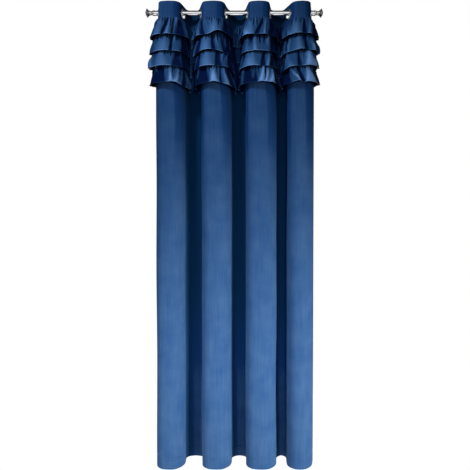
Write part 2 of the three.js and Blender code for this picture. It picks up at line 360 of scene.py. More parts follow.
def folded_line(corners, steps):
    """The cloth's line round its corners, the middle of each corner, and the arcs of the hollow ones."""
    line = [(corners[0].x, corners[0].y, corners[0].squeeze)]
    middles = []
    hollow_arcs = []
    for number in range(1, len(corners)):
        before = corners[number - 1]
        corner = corners[number]
        if corner.rounding:
            arc = corner_arc(before, corner, corners[number + 1], steps.corner)
        else:
            arc = [(corner.x, corner.y, corner.squeeze)]
        level_steps = steps.back if corner.squeeze else steps.front
        count = level_steps if corner.squeeze == before.squeeze else steps.flank
        start = line[-1]
        for step in range(1, count + 1):
            line.append(tuple(lerp(a, b, step / count) for a, b in zip(start, arc[0])))
        middles.append(len(line) - 1 + len(arc) // 2)
        line.extend(arc[1:])
        if corner.squeeze and corner.rounding:
            hollow_arcs.append((len(line) - len(arc), len(line) - 1, corner.rounding))
    return line, middles, hollow_arcs


def lengths_along(line):
    """The length of cloth from the left edge to each point of its line."""
    along = [0.0]
    for (x0, y0, _), (x1, y1, _) in zip(line, line[1:]):
        along.append(along[-1] + math.hypot(x1 - x0, y1 - y0))
    return along


def plan_at(height, steps):
    """The cloth's line at a height, with the lengths of cloth where each fold's front starts and ends."""
    line, middles, hollow_arcs = folded_line(plan_corners(height), steps)
    along = lengths_along(line)
    fold = len(FoldPlan._fields)
    fronts = [(along[middles[i]], along[middles[i + 1]]) for i in range(0, len(middles) - 1, fold)]
    backs = [(along[middles[i]], along[middles[i + 1]]) for i in range(2, len(middles) - 2, fold)]
    hollows = [Hollow(along[first], along[last], rounding) for first, last, rounding in hollow_arcs]
    bow = lerp(HEADING.bow, BODY.bow, blend_share(PLAN_BLEND, height))
    bowed = []
    for (x, y, squeeze), length in zip(line, along):
        swell = sum(front_swell(length, *front) for front in fronts)
        sink = sum(front_swell(length, *back) for back in backs)
        bowed.append((x, y + bow * (sink - swell), squeeze))
    points = []
    last = len(bowed) - 1
    for i, (x, y, squeeze) in enumerate(bowed):
        x0, y0, _ = bowed[max(i - 1, 0)]
        x1, y1, _ = bowed[min(i + 1, last)]
        length = math.hypot(x1 - x0, y1 - y0)
        room = min(hollow_room(along[i], hollow) for hollow in hollows)
        points.append(PlanPoint(x, y, (y1 - y0) / length, (x0 - x1) / length, squeeze, along[i], room))
    return points, fronts


def hollow_room(length, hollow):
    """How far cloth can stand off here before it meets itself over a hollow corner."""
    return hollow.rounding + max(hollow.start - length, length - hollow.end, 0)


def front_swell(length, start, end):
    """The share of the bow that a place on the cloth has: 1 in the middle of a front, 0 at its ends."""
    share = min(max((length - start) / (end - start), 0.0), 1.0)
    return math.sin(math.pi * share) ** 2


def stood_off(point, stand, height):
    """A place off the panel at a height."""
    return (point.x + point.out_x * stand, point.y + point.out_y * stand, height)


# Meshes

def select_only(piece):
    bpy.ops.object.select_all(action="DESELECT")
    piece.select_set(True)
    bpy.context.view_layer.objects.active = piece


def apply_modifier(piece, kind, **settings):
    select_only(piece)
    modifier = piece.modifiers.new(kind.lower(), kind)
    for name, value in settings.items():
        setattr(modifier, name, value)
    bpy.ops.object.modifier_apply(modifier=modifier.name)


def cloth_sheet(name, rows, flats, painted_shades, thickness):
    """A sheet of cloth over a grid of points in millimetres, rows from top to hem.

    flats holds each point's place on the flat cloth, kept as the UV map "flat" in metres.
    The third list holds the painted light and shade at each point, 0 dark and 1 pale, kept as a point
    attribute.
    """
    columns = len(rows[0])
    points = [tuple(value * MM for value in point) for row in rows for point in row]
    faces = []
    for r in range(len(rows) - 1):
        for c in range(columns - 1):
            corner = r * columns + c
            faces.append((corner, corner + columns, corner + columns + 1, corner + 1))
    mesh = bpy.data.meshes.new(name)
    mesh.from_pydata(points, [], faces)
    places = [(across * MM, down * MM) for row in flats for across, down in row]
    uv_map = mesh.uv_layers.new(name="flat")
    for loop in mesh.loops:
        uv_map.data[loop.index].uv = places[loop.vertex_index]
    painted_shading = mesh.attributes.new("painted_shading", "FLOAT", "POINT")
    painted_shading.data.foreach_set("value", [value for row in painted_shades for value in row])
    piece = bpy.data.objects.new(name, mesh)
    bpy.context.scene.collection.objects.link(piece)
    apply_modifier(piece, "SOLIDIFY", thickness=thickness * MM, offset=0)
    return piece


def turned_piece(name, outline):
    """A piece turned about the X axis: one vertex is drawn along the outline, then spun round."""
    start = Vector((outline[0].along, 0, outline[0].radius)) * MM
    bpy.ops.mesh.primitive_plane_add(size=MM, location=start)
    piece = bpy.context.object
    piece.name = name
    piece.data.name = name
    bpy.ops.object.mode_set(mode="EDIT")
    bpy.ops.mesh.merge(type="CENTER")
    for here, there in zip(outline, outline[1:]):
        move = Vector((there.along - here.along, 0, there.radius - here.radius)) * MM
        bpy.ops.mesh.extrude_region_move(TRANSFORM_OT_translate={"value": move})
    bpy.ops.mesh.select_all(action="SELECT")
    bpy.ops.mesh.spin(steps=ROUND_STEPS, angle=2 * math.pi, center=(0, 0, 0), axis=(1, 0, 0))
    bpy.ops.mesh.select_all(action="SELECT")
    bpy.ops.mesh.remove_doubles(threshold=WELD * MM)
    bpy.ops.mesh.normals_make_consistent(inside=False)
    bpy.ops.object.mode_set(mode="OBJECT")
    bpy.ops.object.transform_apply()
    return piece


def placed_copy(piece, name, place):
    """A copy with a mesh of its own, moved to its place."""
    copy = piece.copy()
    copy.data = piece.data.copy()
    copy.name = name
    copy.data.name = name
    bpy.context.scene.collection.objects.link(copy)
    copy.matrix_world = place
    select_only(copy)
    bpy.ops.object.transform_apply()
    return copy


def cover(piece, material):
    """Give a piece its material and its place on the hanging body."""
    piece.data.materials.clear()
    piece.data.materials.append(material)
    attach(piece, "root")


def finish_piece(piece, node, material, smooth_angle):
    """Smooth a piece's faces, cover it, and let it stand for its solid."""
    select_only(piece)
    bpy.ops.object.shade_smooth_by_angle(angle=math.radians(smooth_angle))
    cover(piece, material)
    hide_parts(node)


# Materials

# How rough a pattern is that has no roughness of its own
EVEN_NOISE = 0.5


def linear(hex_colour):
    """An sRGB hex colour as linear values."""
    channels = [int(hex_colour[i:i + 2], 16) / 255 for i in (1, 3, 5)]
    values = [c / 12.92 if c <= 0.04045 else ((c + 0.055) / 1.055) ** 2.4 for c in channels]
    return (*values, 1.0)


def add_node(tree, kind, settings=None, values=None, links=None):
    """Add a shader node with its settings, its sockets' values and the links into its sockets."""
    node = tree.nodes.new("ShaderNode" + kind)
    for name, value in (settings or {}).items():
        setattr(node, name, value)
    for name, value in (values or {}).items():
        node.inputs[name].default_value = value
    for name, source in (links or {}).items():
        tree.links.new(source, node.inputs[name])
    return node


def add_surface(tree, values, links=None):
    """Add the surface's shader and join it to the material's output."""
    shader = add_node(tree, "BsdfPrincipled", values=values, links=links)
    add_node(tree, "OutputMaterial", links={"Surface": shader.outputs["BSDF"]})


def add_noise(tree, places, size, detail, roughness=EVEN_NOISE):
    """Add soft noise with blots of about a size in metres."""
    values = {"Scale": 1 / size, "Detail": detail, "Roughness": roughness}
    return add_node(tree, "TexNoise", values=values, links={"Vector": places}).outputs["Fac"]


def overlay(tree, share, under, over):
    """Lay one pattern over another, by its share."""
    links = {"A": under, "B": over}
    return add_node(tree, "Mix", {"data_type": "FLOAT"}, {"Factor": share}, links).outputs["Result"]


def new_material(name):
    material = bpy.data.materials.new(name)
    material.use_nodes = True
    tree = material.node_tree
    tree.nodes.clear()
    return material, tree


# Velvet's patterns: tufts of pile, drawn coarse enough to show, brushed streaks and shaded patches
TUFT = 2.4
TUFT_ROUGHNESS = 0.6
TUFT_DETAIL = 2
STREAK = (7, 190)
STREAK_DETAIL = 2
PATCH = 95
PATCH_DETAIL = 3
# Patches lie over the streaks, tufts over both, and the painted light and shade of the folds over all, by
# these shares
PATCH_SHARE = 0.55
TUFT_SHARE = 0.3
PAINTED_SHADE_SHARE = 0.75
# How deep the tufts look and how strongly
PILE_DEPTH = 0.5
PILE_STRENGTH = 0.25
# Painted highlight: a hem's edge is painted paler by this much, in full from this share of its width on
EDGE_HIGHLIGHT = 0.22
EDGE_FULL = 0.4
SHEEN_ROUGHNESS = 0.5
SHEEN_BLUE = "#5C87C4"
GLOSS_BLUE = "#5680BC"
# shades run from the darkest, painted shade, to the palest, painted light, by places from 0 to 1. The last
# column is how wide a hem's painted highlight is.
Pile = namedtuple("Pile", "name shades open_roughness closed_roughness gloss sheen pale_edge")
PANEL_PILE = Pile(
    "cotton_velvet", ((0.13, "#082338"), (0.825, "#0F2A4C"), (0.925, "#29405A")),
    open_roughness=0.85, closed_roughness=0.95, gloss=0.2, sheen=0.1, pale_edge=0)
RUFFLE_PILE = Pile(
    "gathered_velvet", ((0.14, "#000824"), (0.5, "#1C3651"), (0.69, "#3C5571"), (0.80, "#5C7697")),
    open_roughness=0.42, closed_roughness=1.0, gloss=0.4, sheen=0.0, pale_edge=2)


def velvet(pile):
    """Woven cotton velvet: a short dense pile that is soft and mostly dull, with brushed streaks.

    The eye sees a deep blue, paler in brushed streaks and patches, with a faint sheen at the folds. Its
    colour also holds painted shade, darker in troughs, valleys and turned sides, and painted light, paler
    on ridges and towards the panel's hem.
    """
    material, tree = new_material(pile.name)
    cloth = add_node(tree, "UVMap", {"uv_map": "flat"}).outputs["UV"]
    streak_places = add_node(
        tree, "Mapping", values={"Scale": (1 / (STREAK[0] * MM), 1 / (STREAK[1] * MM), 1)},
        links={"Vector": cloth})
    streaks = add_noise(tree, streak_places.outputs["Vector"], 1, STREAK_DETAIL)
    patches = add_noise(tree, cloth, PATCH * MM, PATCH_DETAIL)
    tufts = add_noise(tree, cloth, TUFT * MM, TUFT_DETAIL, TUFT_ROUGHNESS)
    # The painted light and shade of the folds, read from the cloth's point attribute
    painted_tone = add_node(tree, "Attribute", {"attribute_name": "painted_shading"}).outputs["Fac"]
    brushed = overlay(tree, PATCH_SHARE, streaks, patches)
    tufted = overlay(tree, TUFT_SHARE, brushed, tufts)
    lean = overlay(tree, PAINTED_SHADE_SHARE, tufted, painted_tone)
    # Painted highlight along the hem's rolled edge
    if pile.pale_edge:
        apart = add_node(tree, "SeparateXYZ", links={"Vector": cloth})
        width = pile.pale_edge * MM
        edge = add_node(
            tree, "MapRange", {"interpolation_type": "SMOOTHSTEP"},
            {"From Min": width, "From Max": EDGE_FULL * width, "To Min": 0, "To Max": EDGE_HIGHLIGHT},
            {"Value": apart.outputs["Y"]})
        lean = add_node(
            tree, "Math", {"operation": "ADD"},
            links={0: lean, 1: edge.outputs["Result"]}).outputs["Value"]
    shade = add_node(tree, "ValToRGB", links={"Fac": lean})
    stops = shade.color_ramp.elements
    for place, _ in pile.shades[2:]:
        stops.new(place)
    for stop, (place, hex_colour) in zip(stops, pile.shades):
        stop.position = place
        stop.color = linear(hex_colour)
    bumps = add_node(
        tree, "Bump", values={"Strength": PILE_STRENGTH, "Distance": PILE_DEPTH * MM},
        links={"Height": tufts})
    dullness = add_node(
        tree, "MapRange", values={"To Min": pile.closed_roughness, "To Max": pile.open_roughness},
        links={"Value": painted_tone})
    add_surface(
        tree,
        values={
            "Roughness": pile.open_roughness,
            "Specular IOR Level": pile.gloss,
            "Specular Tint": linear(GLOSS_BLUE),
            "Sheen Weight": pile.sheen,
            "Sheen Roughness": SHEEN_ROUGHNESS,
            "Sheen Tint": linear(SHEEN_BLUE),
        },
        links={
            "Base Color": shade.outputs["Color"],
            "Roughness": dullness.outputs["Result"],
            "Normal": bumps.outputs["Normal"],
        })
    return material


THREAD_BLUE = "#2A4A78"
THREAD_BLACK = "#000000"
THREAD_STRAND = 0.5
# How uneven the twist is, and the share of the colour that is left between two strands
TWIST_UNEVEN = 0.5
TWIST_SHADE = 0.6
THREAD_ROUGHNESS = 0.7
THREAD_GLOSS = 0.3


def sewing_thread(name):
    """Spun polyester thread: dull, with the slanting lines of its twist."""
    material, tree = new_material(name)
    places = add_node(tree, "TexCoord")
    twist = add_node(
        tree, "TexWave", {"bands_direction": "DIAGONAL"},
        {"Scale": 1 / (THREAD_STRAND * MM), "Distortion": TWIST_UNEVEN},
        {"Vector": places.outputs["Object"]})
    depth = add_node(
        tree, "MapRange", values={"To Min": TWIST_SHADE, "To Max": 1.0},
        links={"Value": twist.outputs["Fac"]})
    shade = add_node(
        tree, "MixRGB", values={"Color1": linear(THREAD_BLACK), "Color2": linear(THREAD_BLUE)},
        links={"Fac": depth.outputs["Result"]})
    add_surface(
        tree, {"Roughness": THREAD_ROUGHNESS, "Specular IOR Level": THREAD_GLOSS},
        {"Base Color": shade.outputs["Color"]})
    return material


# Metal plate: its colour, its roughness, and the size of the faint smears on it
Plate = namedtuple("Plate", "name colour roughness smear")
ROD_PLATE = Plate("chromed_steel", "#D6D8DB", 0.12, 60)
FINIAL_PLATE = Plate("satin_nickel", "#CCC8C3", 0.3, 15)
EYELET_PLATE = Plate("chromed_eyelet_brass", "#DDDFE2", 0.16, 20)
SMEAR_DETAIL = 3
# How much smoother and rougher than the plate its smears are
SMEAR_ROUGHNESS = (0.7, 1.4)


def plated_metal(plate):
    """Plate on steel or brass: bright and mirror-like, with faint smears that soften it."""
    material, tree = new_material(plate.name)
    places = add_node(tree, "TexCoord")
    smears = add_noise(tree, places.outputs["Object"], plate.smear * MM, SMEAR_DETAIL)
    smoothest, roughest = SMEAR_ROUGHNESS
    gloss = add_node(
        tree, "MapRange",
        values={"To Min": plate.roughness * smoothest, "To Max": plate.roughness * roughest},
        links={"Value": smears})
    add_surface(
        tree, {"Base Color": linear(plate.colour), "Metallic": 1.0}, {"Roughness": gloss.outputs["Result"]})
    return material


# Pieces

def panel_painted_shade(points, fronts, height):
    """The panel's painted light and shade along one row: 0 painted dark, 1 painted pale."""
    painted_foot_light = blend_share(PAINTED_LIGHT_BLEND, height)
    shaded = SIDE_PAINTED_SHADOW * (1 - blend_share(SIDE_BLEND, height))
    painted_shades = []
    for point in points:
        foot_light_here = painted_foot_light
        shade = 0.0
        for number, (start, end) in enumerate(fronts):
            across = (point.along - start) / (end - start)
            is_last = number == len(fronts) - 1
            until = points[-1].along if is_last else fronts[number + 1][0]
            if start < point.along < until:
                shade = shaded * smoothstep(across, *SIDE_ACROSS)
            if end < point.along < until and not is_last:
                foot_light_here = painted_foot_light * smoothstep((point.along - end) / (until - end), *PAINTED_LIGHT_ACROSS)
        # Painted shade in the valleys, painted light there towards the hem, painted shadow on the fronts'
        # right sides
        painted_valley_shade = (1 - foot_light_here) * point.squeeze
        painted_shades.append(1 - painted_valley_shade - shade * (1 - point.squeeze))
    return painted_shades


def make_panel(material, thread, eyelet_places):
    """One velvet sheet in deep folds, with a hole under each eyelet and a stitched hem."""
    hem_line = BOTTOM + HEM_HEIGHT
    heights = [lerp(TOP, BOTTOM, row / PANEL_ROWS) for row in range(PANEL_ROWS + 1)]
    for step in range(-HEM_GROOVE_STEPS, HEM_GROOVE_STEPS + 1):
        heights.append(hem_line + HEM_GROOVE_WIDTH * step / HEM_GROOVE_STEPS)
    heights.sort(reverse=True)
    rows = []
    flats = []
    painted_shades = []
    for height in heights:
        points, fronts = plan_at(height, PANEL_PLAN)
        groove = HEM_GROOVE * soft_bump(height - hem_line, HEM_GROOVE_WIDTH)
        row = [stood_off(point, -groove, height) for point in points]
        rows.append(row)
        flats.append([(point.along, height - BOTTOM) for point in points])
        painted_shades.append(panel_painted_shade(points, fronts, height))
        if height == hem_line:
            outward = [(point.out_x, point.out_y) for point in points]
            hem_stitches = make_stitches("hem_stitches", row, outward, PANEL_CLOTH / 2, thread)
    panel = cloth_sheet("curtain_panel", rows, flats, painted_shades, PANEL_CLOTH)
    punch_holes(panel, eyelet_places)
    finish_piece(panel, "panel", material, PANEL_SMOOTH)
    return panel, hem_stitches


def punch_holes(panel, eyelet_places):
    """Cut the round holes under the eyelets through the cloth."""
    cutters = []
    for place in eyelet_places:
        bpy.ops.mesh.primitive_cylinder_add(
            vertices=HOLE_STEPS, radius=CLOTH_HOLE * MM, depth=CLOTH_HOLE * MM,
            rotation=(0, math.pi / 2, 0))
        cutter = bpy.context.object
        cutter.matrix_world = place @ cutter.matrix_world
        cutters.append(cutter)
    select_only(cutters[0])
    for cutter in cutters:
        cutter.select_set(True)
    bpy.ops.object.join()
    punch = bpy.context.object
    apply_modifier(panel, "BOOLEAN", operation="DIFFERENCE", object=punch, solver="EXACT")
    bpy.data.objects.remove(punch)


def find_eyelet_places():
    """Where the eyelets sit: on every flank of the heading, where it crosses the rod."""
    corners = plan_corners(TOP)
    hangs = ROD_RADIUS + SEAT_GAP - EYELET_HOLE * math.cos(math.pi / EYELET_SIDES)
    places = []
    for start, end in zip(corners, corners[1:]):
        if start.y * end.y < 0:
            x = lerp(start.x, end.x, start.y / (start.y - end.y))
            across = math.atan2(end.y - start.y, end.x - start.x) + math.pi / 2
            places.append(Matrix.Translation(Vector((x, 0, hangs)) * MM) @ Matrix.Rotation(across, 4, "Z"))
    return places


def make_eyelets(material, places):
    """Pressed rings, one on each flank of the heading."""
    other_rim = [Turn(-turn.along, turn.radius) for turn in EYELET_RIM]
    outline = (other_rim[0], Turn(0, EYELET_WAIST), *EYELET_RIM, *reversed(other_rim))
    ring = turned_piece("eyelet_pattern", outline)
    eyelets = []
    for number, place in enumerate(places, start=1):
        eyelet = placed_copy(ring, f"pressed_eyelet_{number}", place)
        finish_piece(eyelet, f"eyelet_{number}", material, TURNED_SMOOTH)
        eyelets.append(eyelet)
    bpy.data.objects.remove(ring)
    return eyelets


def make_rod(material):
    """A round rod with bevelled ends."""
    half = ROD_LENGTH / 2
    outline = (
        Turn(-half, 0), Turn(-half, ROD_RADIUS - ROD_BEVEL), Turn(ROD_BEVEL - half, ROD_RADIUS),
        Turn(half - ROD_BEVEL, ROD_RADIUS), Turn(half, ROD_RADIUS - ROD_BEVEL), Turn(half, 0),
    )
    rod = turned_piece("curtain_rod", outline)
    finish_piece(rod, "rod", material, ROD_SMOOTH)
    return rod


def make_finials(material):
    """A trumpet-shaped end piece on each end of the rod."""
    first = FINIAL_OUTLINE[0].along
    last = FINIAL_OUTLINE[-1].along
    pattern = turned_piece("finial_pattern", (Turn(first, 0), *FINIAL_OUTLINE, Turn(last, 0)))
    finials = []
    for side, name in ((-1, "left"), (1, "right")):
        seat = side * (ROD_LENGTH / 2 + SEAT_GAP) * MM
        turn = Matrix.Rotation(math.pi if side < 0 else 0, 4, "Z")
        finial = placed_copy(pattern, f"trumpet_finial_{name}", Matrix.Translation((seat, 0, 0)) @ turn)
        finish_piece(finial, f"finial_{name}", material, TURNED_SMOOTH)
        finials.append(finial)
    bpy.data.objects.remove(pattern)
    return finials


# How far a fold moves the cloth out where its painted shade is palest, and in where it is darkest
PALE_SWING = 20
DARK_SWING = 7.5
# Painted shade: how much darker the ruffles are painted between the folds of the panel, and where the cloth
# turns left or right
VALLEY_PAINTED_SHADE = 0.2
LEFT_PAINTED_SHADE = 0.27
RIGHT_PAINTED_SHADE = 0.35
# From which turn to which, 1 being edge on
TURNED_PAINTED_SHADE = (0.3, 1.0)


def painted_shade_of(swing):
    """Painted shade from a fold's swing: 0 dark in a trough, 1 pale on a ridge."""
    reach = PALE_SWING if swing > 0 else DARK_SWING
    return min(max((1 + swing / reach) / 2, 0.0), 1.0)


# A fold of a ruffle by the length of cloth along the stitch line
Crease = namedtuple("Crease", "at_stitch at_hem depth width reach")


def ruffle_creases(number, fronts, length, chance):
    """The folds of one ruffle: those listed one by one, fine gathers and the pleats in the valleys."""
    creases = []
    for rows, (start, end) in zip(FLUTES[number], fronts):
        for flute in (Flute(*row) for row in rows):
            creases.append(Crease(
                lerp(start, end, flute.across_stitch), lerp(start, end, flute.across_hem),
                flute.depth, flute.width, flute.reach))
    place = 0.0
    while place < length:
        lean = chance.uniform(-GATHER_LEAN, GATHER_LEAN)
        reach = chance.uniform(*GATHER_REACH)
        creases.append(Crease(place, place + lean, -GATHER_DEPTH, GATHER_WIDTH, reach))
        place += chance.uniform(*GATHER_SPACING)
    place = 0.0
    while place < length:
        depth = chance.uniform(*PLEAT_DEPTH) * chance.choice((-1, 1))
        width = chance.uniform(*PLEAT_WIDTH)
        lean = chance.uniform(-PLEAT_LEAN, PLEAT_LEAN)
        on_front = any(start < place < end for start, end in fronts)
        if not on_front:
            creases.append(Crease(place, place + lean, depth, width, 1))
        place += chance.uniform(*PLEAT_SPACING)
    return creases


def crease_swing(crease, along, down):
    """How far a fold moves the cloth outward at a place along the ruffle and a share of its drop."""
    middle = lerp(crease.at_stitch, crease.at_hem, down)
    bump = soft_bump(along - middle, crease.width * lerp(*FOLD_SPREAD, down))
    if not bump:
        return 0.0
    if crease.reach < 1:
        strength = math.sin(math.pi * min(down / crease.reach, 1.0) ** FOLD_GROWTH)
    else:
        strength = down ** FOLD_GROWTH
    return crease.depth * bump * strength


# A ruffle before it is laid out: its tier, the panel's plan at its stitch line, the folds near each point
# of that line, and the arches of its hem with their places
Strip = namedtuple("Strip", "tier seam fronts creases arches")


def plan_ruffle(number, chance):
    """Settle where one ruffle's folds and arches are."""
    tier = TIERS[number]
    seam, fronts = plan_at(tier.stitch, RUFFLE_PLAN)
    all_creases = ruffle_creases(number, fronts, seam[-1].along, chance)
    widest = max(FOLD_SPREAD)
    creases = []
    for point in seam:
        near = []
        for crease in all_creases:
            first = min(crease.at_stitch, crease.at_hem) - crease.width * widest
            last = max(crease.at_stitch, crease.at_hem) + crease.width * widest
            if first < point.along < last:
                near.append(crease)
        creases.append(near)
    arches = []
    for arch in HEM_ARCHES:
        if arch.ruffle == number + 1:
            arches.append((arch, lerp(*fronts[arch.fold - 1], arch.across)))
    return Strip(tier, seam, fronts, creases, arches)


def end_shares(strip, along):
    """How near a place is to the ruffle's left end and its right end: 1 at the end, 0 from the front on."""
    length = strip.seam[-1].along
    left = max(1 - along / strip.fronts[0][0], 0)
    right = max(1 - (length - along) / (length - strip.fronts[-1][1]), 0)
    return left, right


def seam_lift(left, right):
    """How far the stitch line rises near a ruffle's ends, as far as the hem does at the very end."""
    ends = left + right
    return (LEFT_END_RISE * left + RIGHT_END_RISE * right - VALLEY_SAG * ends) * ends


def ruffle_stands(number, strip, below):
    """How far a ruffle stands off the panel, and its painted light and shade: a row of values per step of
    its drop.

    It lies over the ruffle below it, whose stands are given.
    """
    tier = strip.tier
    stands = []
    painted_shades = []
    for step in range(RUFFLE_ROWS + 1):
        down = step / RUFFLE_ROWS
        height = lerp(tier.stitch, tier.hem, down)
        swell = tier.flare * (1 - (1 - down) ** tier.swell)
        puff = GATHER_PUFF * math.sin(math.pi * min(down / PUFF_REACH, 1))
        row = []
        shade_row = []
        for column, point in enumerate(strip.seam):
            swing = sum(crease_swing(crease, point.along, down) for crease in strip.creases[column])
            # Painted shade: darker in troughs, in the panel's valleys and where the cloth turns aside,
            # paler on ridges
            side_shade = RIGHT_PAINTED_SHADE if point.out_x > 0 else LEFT_PAINTED_SHADE
            turned = side_shade * smoothstep(abs(point.out_x), *TURNED_PAINTED_SHADE)
            shade_row.append(painted_shade_of(swing) - VALLEY_PAINTED_SHADE * point.squeeze - turned)
            kept_at_hem = lerp(HEM_FOLD, 1, point.squeeze)
            swing *= lerp(1, SQUEEZED_FOLD, point.squeeze) * lerp(1, kept_at_hem, down ** HEM_FOLD_LATE)
            ends = sum(end_shares(strip, point.along))
            kept = 0 if ends else SQUEEZED_FLARE
            flare = lerp(1, kept, point.squeeze ** 2) * swell
            seat = SEAM_STAND + 2 * BEAD_RADIUS * (1 - down)
            stand = max(seat + flare + (puff + swing) * (1 - ends ** 2), SEAM_STAND)
            stand = min(stand, ROOM_SHARE * point.room)
            if below:
                stand = max(stand, stand_at(below, number + 1, column, height) + LAYER_GAP)
            row.append(stand)
        stands.append(row)
        painted_shades.append(shade_row)
    return stands, painted_shades


def stand_at(stands, number, column, height):
    """How far a ruffle stands off the panel at a height: not at all above its stitch line."""
    tier = TIERS[number]
    step = (tier.stitch - height) / (tier.stitch - tier.hem) * RUFFLE_ROWS
    if step < 0:
        return 0.0
    first = min(int(step), RUFFLE_ROWS - 1)
    return lerp(stands[first][column], stands[first + 1][column], step - first)


def bead_rows(strip):
    """Rows of the turned-under top edge, a small bead over the stitch line, each with its flat height."""
    tier = strip.tier
    rows = []
    for step in range(BEAD_STEPS):
        angle = math.pi * (1 - step / BEAD_STEPS)
        rise = BEAD_RADIUS * math.sin(angle)
        reach = BEAD_RADIUS * (1 + math.cos(angle))
        row = []
        for point, near in zip(strip.seam, strip.creases):
            gathers = sum(crease_swing(crease, point.along, BEAD_GATHERS_AT) for crease in near)
            stand = max(SEAM_STAND + reach + BEAD_GATHERS_KEPT * gathers, SEAM_STAND)
            lift = seam_lift(*end_shares(strip, point.along))
            row.append(stood_off(point, stand, tier.stitch + lift + rise))
        rows.append((row, tier.stitch - tier.hem + rise))
    return rows


def drop_rows(strip, stands):
    """Rows from the stitch line down to the hem, each with its flat height."""
    tier = strip.tier
    hem_swings = []
    for point, near in zip(strip.seam, strip.creases):
        hem_swings.append(sum(crease_swing(crease, point.along, 1) for crease in near))
    rows = []
    for step in range(RUFFLE_ROWS + 1):
        down = step / RUFFLE_ROWS
        height = lerp(tier.stitch, tier.hem, down)
        points, _ = plan_at(height, RUFFLE_PLAN)
        row = []
        for point, start, stand, hem_swing in zip(points, strip.seam, stands[step], hem_swings):
            left, right = end_shares(strip, start.along)
            at_hem = LEFT_END_RISE * left + RIGHT_END_RISE * right - VALLEY_SAG * point.squeeze ** 2
            at_hem -= PLEAT_DROP * hem_swing * point.squeeze * (1 - left - right)
            for arch, place in strip.arches:
                at_hem += arch.rise * soft_bump(start.along - place, arch.width)
            lift = lerp(seam_lift(left, right), at_hem, down)
            row.append(stood_off(point, stand, height + lift))
        rows.append((row, (tier.stitch - tier.hem) * (1 - down)))
    return rows


def roll_rows(strip, hem):
    """Rows of the hem's roll, which curls outward from the hem's line, each with its flat height."""
    rows = []
    for step in range(1, HEM_ROLL_STEPS + 1):
        angle = HEM_ROLL_TURN * step / HEM_ROLL_STEPS
        out = HEM_ROLL_RADIUS * (1 - math.cos(angle))
        fall = HEM_ROLL_RADIUS * math.sin(angle)
        row = []
        for (x, y, z), point in zip(hem, strip.seam):
            row.append((x + point.out_x * out, y + point.out_y * out, z - fall))
        rows.append((row, -fall))
    return rows


def make_ruffle(number, material, thread, chance, below):
    """A gathered strip, sewn to the panel along its top and flaring to a rolled hem."""
    strip = plan_ruffle(number, chance)
    stands, drop_shades = ruffle_stands(number, strip, below)
    drop = drop_rows(strip, stands)
    hem, _ = drop[-1]
    rows = []
    flats = []
    for row, height in bead_rows(strip) + drop + roll_rows(strip, hem):
        rows.append(turned_ends(row, strip.seam))
        flats.append(repeated_ends([(point.along, height) for point in strip.seam]))
    painted_shades = [drop_shades[0]] * BEAD_STEPS + drop_shades + [drop_shades[-1]] * HEM_ROLL_STEPS
    painted_shades = [repeated_ends(row) for row in painted_shades]
    ruffle = cloth_sheet(f"gathered_ruffle_{number + 1}", rows, flats, painted_shades, RUFFLE_CLOTH)
    finish_piece(ruffle, f"ruffle_{number + 1}", material, RUFFLE_SMOOTH)
    sewn = rows[BEAD_STEPS + 1]
    outward = [(point.out_x, point.out_y) for point in strip.seam]
    stitches = make_stitches(f"ruffle_stitches_{number + 1}", sewn, outward, RUFFLE_CLOTH / 2, thread)
    return ruffle, stitches, stands


def turned_ends(row, seam):
    """A ruffle's row with its two ends turned round the panel's side edges."""
    left_turn = [turned_end(row[0], seam[0], -past, back) for past, back in END_TURNS]
    right_turn = [turned_end(row[-1], seam[-1], past, back) for past, back in END_TURNS]
    return [*reversed(left_turn), *row, *right_turn]


def repeated_ends(row):
    """A row of values with its first and last once more for each point of a turned end."""
    turns = len(END_TURNS)
    return [row[0]] * turns + row + [row[-1]] * turns


def turned_end(place, point, past, back):
    """A place past the panel's side edge and behind it."""
    x, y, z = place
    return (x - point.out_y * past - point.out_x * back, y + point.out_x * past - point.out_y * back, z)


def make_stitches(name, line, outward, half_cloth, material):
    """A row of stitches lying on the cloth along a line of points in millimetres."""
    reach = half_cloth + THREAD_RADIUS
    lying = []
    for (x, y, z), (out_x, out_y) in zip(line, outward):
        lying.append(Vector((x + out_x * reach, y + out_y * reach, z)))
    lengths = [0.0]
    for start, end in zip(lying, lying[1:]):
        lengths.append(lengths[-1] + (end - start).length)

    def place_at(length):
        after = min(bisect.bisect_right(lengths, length), len(lengths) - 1)
        share = (length - lengths[after - 1]) / (lengths[after] - lengths[after - 1])
        return lying[after - 1].lerp(lying[after], share)

    curve = bpy.data.curves.new(name, "CURVE")
    curve.dimensions = "3D"
    curve.bevel_depth = THREAD_RADIUS * MM
    curve.bevel_resolution = 1
    curve.use_fill_caps = True
    for number in range(1, int(lengths[-1] / STITCH_PITCH)):
        start = number * STITCH_PITCH
        stitch = curve.splines.new("POLY")
        stitch.points.add(1)
        stitch.points[0].co = (*(place_at(start) * MM), 1)
        stitch.points[1].co = (*(place_at(start + STITCH_LENGTH) * MM), 1)
    piece = bpy.data.objects.new(name, curve)
    bpy.context.scene.collection.objects.link(piece)
    select_only(piece)
    bpy.ops.object.convert(target="MESH")
    piece.data.name = name
    cover(piece, material)
    return piece


# Stage, light and camera

WHITE = "#FFFFFF"
# The floor's size in metres, and how far it lies under the hem
FLOOR_SIZE = 1.8
FLOOR_DROP = 15
FLOOR_GREY = "#F4F4F4"
FLOOR_ROUGHNESS = 0.9
FLOOR_GLOW = 1.0
# How bright the backdrop is to look at, and how much light it casts
BACKDROP_SEEN = 1.0
BACKDROP_CAST = 0.07


